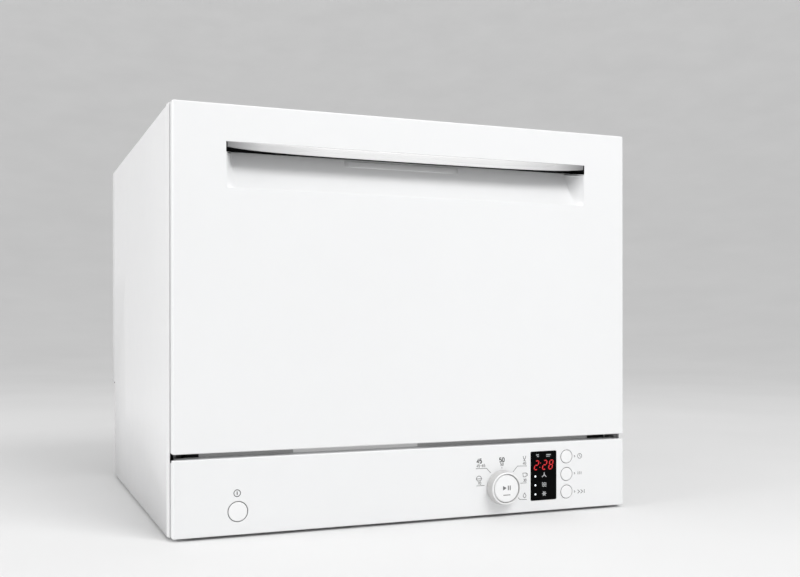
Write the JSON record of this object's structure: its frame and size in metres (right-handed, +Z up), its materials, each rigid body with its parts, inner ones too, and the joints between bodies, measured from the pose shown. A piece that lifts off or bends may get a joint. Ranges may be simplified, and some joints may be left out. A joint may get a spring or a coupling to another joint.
{
  "type": "countertop dishwasher",
  "caption": "Compact free-standing dishwasher with a bottom-hinged door, lower control fascia, steel tub, sliding wire rack, spray arm, filter, pump and rear water fittings.",
  "frame": {"origin": "on the resting plane, under the centre of the overall box", "axes": "+X to the right seen from the front, -Y towards the user (the door faces -Y), +Z up"},
  "size_m": [0.551, 0.512, 0.45],
  "materials": {
    "white_enamel": "smooth powder-coated white, semi-gloss",
    "white_gloss": "white satin-gloss moulded plastic",
    "zinc_sheet": "galvanised sheet",
    "base_plastic": "fine-grained dark grey moulded plastic",
    "stainless": "fine brushed stainless steel",
    "seal_rubber": "matt elastomer",
    "grey_plastic": "grey moulded plastic",
    "zinc_steel": "zinc-plated steel",
    "black_plastic": "black moulded plastic",
    "white_plastic": "white acetal",
    "arm_plastic": "grey polypropylene",
    "natural_plastic": "natural polypropylene",
    "cap_blue": "blue-grey plastic",
    "board_green": "solder-resist green",
    "display_glass": "smoked black window",
    "knob_grey": "satin light grey",
    "foot_rubber": "matt rubber",
    "grip_metal": "satin silver-white grip",
    "felt": "bitumen-backed felt",
    "rack_coat": "grey nylon coating on wire",
    "basket_plastic": "grey polypropylene",
    "wheel_plastic": "light grey acetal"
  },
  "bodies": {
    "cabinet": {"outer_casing": "white_enamel", "side_trims": "white_enamel", "rear_panel": "zinc_sheet", "base_tray": "base_plastic", "tub": "stainless", "door_gasket": "seal_rubber", "drip_strip": "grey_plastic", "hinge_brackets": "zinc_steel", "rack_rails": "stainless", "lock_housing": "black_plastic", "spray_hub": "grey_plastic", "filter_plate": "stainless", "sump": "base_plastic", "wash_pump": "black_plastic", "drain_pump": "black_plastic", "softener": "natural_plastic", "inlet_valve": "natural_plastic", "drain_spigot": "black_plastic", "air_break": "natural_plastic", "inner_pipes": "seal_rubber", "control_board": "board_green", "fascia": "white_gloss", "display_window": "display_glass", "mains_inlet": "black_plastic", "casing_screws": "zinc_steel", "rear_feet": "foot_rubber", "door_springs": "zinc_steel"},
    "door": {"door_outer_panel": "white_gloss", "door_inner_panel": "stainless", "handle_scoop": "white_gloss", "handle_grip": "grip_metal", "door_insulation": "felt", "detergent_dispenser": "natural_plastic", "door_striker": "zinc_steel", "hinge_arms": "zinc_steel", "door_screws": "zinc_steel"},
    "rack": {"rack_frame": "rack_coat", "rack_tines": "rack_coat"},
    "fold_tines": {"fold_tines": "rack_coat"},
    "cup_shelf": {"cup_shelf": "arm_plastic"},
    "cutlery_basket": {"cutlery_basket": "basket_plastic"},
    "rack_wheel_fl": {"rack_wheel_fl": "wheel_plastic"},
    "rack_wheel_fr": {"rack_wheel_fr": "wheel_plastic"},
    "rack_wheel_rl": {"rack_wheel_rl": "wheel_plastic"},
    "rack_wheel_rr": {"rack_wheel_rr": "wheel_plastic"},
    "spray_arm": {"spray_arm": "arm_plastic"},
    "filter_cup": {"filter_cup": "arm_plastic"},
    "salt_cap": {"salt_cap": "cap_blue"},
    "dispenser_lid": {"dispenser_lid": "arm_plastic"},
    "rinse_aid_cap": {"rinse_aid_cap": "cap_blue"},
    "lock_catch": {"lock_catch": "white_plastic"},
    "programme_knob": {"programme_knob": "knob_grey"},
    "start_button": {"start_button": "white_gloss"},
    "power_button": {"power_button": "white_gloss"},
    "option_button_1": {"option_button_1": "white_gloss"},
    "option_button_2": {"option_button_2": "white_gloss"},
    "option_button_3": {"option_button_3": "white_gloss"},
    "wash_impeller": {"wash_impeller": "white_plastic"},
    "levelling_foot_left": {"levelling_foot_left": "foot_rubber"},
    "levelling_foot_right": {"levelling_foot_right": "foot_rubber"}
  },
  "joints": [
    {"name": "door_hinge", "type": "hinge", "parent": "cabinet", "child": "door", "pos_m": [0, -0.228, 0.1005], "axis": [1, 0, 0], "range_deg": [0, 90], "deforming": ["door_springs"]},
    {"name": "rack_slide", "type": "slide", "parent": "cabinet", "child": "rack", "axis": [0, -1, 0], "range_m": [0, 0.11]},
    {"name": "wheel_fl_roll", "type": "hinge", "parent": "rack", "child": "rack_wheel_fl", "pos_m": [-0.2277, -0.118, 0.134], "axis": [1, 0, 0], "continuous": true},
    {"name": "wheel_fr_roll", "type": "hinge", "parent": "rack", "child": "rack_wheel_fr", "pos_m": [0.2277, -0.118, 0.134], "axis": [1, 0, 0], "continuous": true},
    {"name": "wheel_rl_roll", "type": "hinge", "parent": "rack", "child": "rack_wheel_rl", "pos_m": [-0.2277, 0.118, 0.134], "axis": [1, 0, 0], "continuous": true},
    {"name": "wheel_rr_roll", "type": "hinge", "parent": "rack", "child": "rack_wheel_rr", "pos_m": [0.2277, 0.118, 0.134], "axis": [1, 0, 0], "continuous": true},
    {"name": "fold_tines_hinge", "type": "hinge", "parent": "rack", "child": "fold_tines", "pos_m": [-0.05, -0.03, 0.1385], "axis": [1, 0, 0], "range_deg": [0, 88]},
    {"name": "cup_shelf_hinge", "type": "hinge", "parent": "rack", "child": "cup_shelf", "pos_m": [0.214, 0.119, 0.1995], "axis": [0, 1, 0], "range_deg": [0, 88]},
    {"name": "cutlery_basket_lift", "type": "slide", "parent": "rack", "child": "cutlery_basket", "axis": [0, 0, 1], "range_m": [0, 0.16]},
    {"name": "spray_arm_spin", "type": "hinge", "parent": "cabinet", "child": "spray_arm", "pos_m": [0, 0.006, 0.117], "axis": [0, 0, 1], "continuous": true},
    {"name": "filter_cup_turn", "type": "hinge", "parent": "cabinet", "child": "filter_cup", "pos_m": [0.096, -0.074, 0.1], "axis": [0, 0, 1], "range_deg": [0, 90]},
    {"name": "salt_cap_turn", "type": "hinge", "parent": "cabinet", "child": "salt_cap", "pos_m": [-0.12, 0.082, 0.1], "axis": [0, 0, 1], "range_deg": [0, 360]},
    {"name": "dispenser_lid_slide", "type": "slide", "parent": "door", "child": "dispenser_lid", "axis": [0, 0, 1], "range_m": [0, 0.062]},
    {"name": "rinse_cap_turn", "type": "hinge", "parent": "door", "child": "rinse_aid_cap", "pos_m": [0.045, -0.204, 0.255], "axis": [0, 1, 0], "range_deg": [0, 90]},
    {"name": "lock_catch_slide", "type": "slide", "parent": "cabinet", "child": "lock_catch", "axis": [0, 0, 1], "range_m": [0, 0.001], "stiffness_N_per_m": 600},
    {"name": "programme_knob_turn", "type": "hinge", "parent": "cabinet", "child": "programme_knob", "pos_m": [0.1052, -0.25, 0.034], "axis": [0, 1, 0], "continuous": true},
    {"name": "start_button_press", "type": "slide", "parent": "cabinet", "child": "start_button", "axis": [0, 1, 0], "range_m": [0, 0.001], "stiffness_N_per_m": 900},
    {"name": "power_button_press", "type": "slide", "parent": "cabinet", "child": "power_button", "axis": [0, 1, 0], "range_m": [0, 0.0015], "stiffness_N_per_m": 900},
    {"name": "option_button_1_press", "type": "slide", "parent": "cabinet", "child": "option_button_1", "axis": [0, 1, 0], "range_m": [0, 0.001], "stiffness_N_per_m": 900},
    {"name": "option_button_2_press", "type": "slide", "parent": "cabinet", "child": "option_button_2", "axis": [0, 1, 0], "range_m": [0, 0.001], "stiffness_N_per_m": 900},
    {"name": "option_button_3_press", "type": "slide", "parent": "cabinet", "child": "option_button_3", "axis": [0, 1, 0], "range_m": [0, 0.001], "stiffness_N_per_m": 900},
    {"name": "wash_impeller_spin", "type": "hinge", "parent": "cabinet", "child": "wash_impeller", "pos_m": [0.06, 0.05, 0.048], "axis": [0, 1, 0], "continuous": true},
    {"name": "foot_left_turn", "type": "hinge", "parent": "cabinet", "child": "levelling_foot_left", "pos_m": [-0.215, -0.188, 0.01], "axis": [0, 0, 1], "continuous": true},
    {"name": "foot_right_turn", "type": "hinge", "parent": "cabinet", "child": "levelling_foot_right", "pos_m": [0.215, -0.188, 0.01], "axis": [0, 0, 1], "continuous": true}
  ],
  "couplings": [
    {"joint": "rack_slide", "follows": "door_hinge", "m_per_rad": 0.07},
    {"joint": "wheel_fl_roll", "follows": "door_hinge", "ratio": 6.5421},
    {"joint": "wheel_fr_roll", "follows": "door_hinge", "ratio": 6.5421},
    {"joint": "wheel_rl_roll", "follows": "door_hinge", "ratio": 6.5421},
    {"joint": "wheel_rr_roll", "follows": "door_hinge", "ratio": 6.5421}
  ]
}
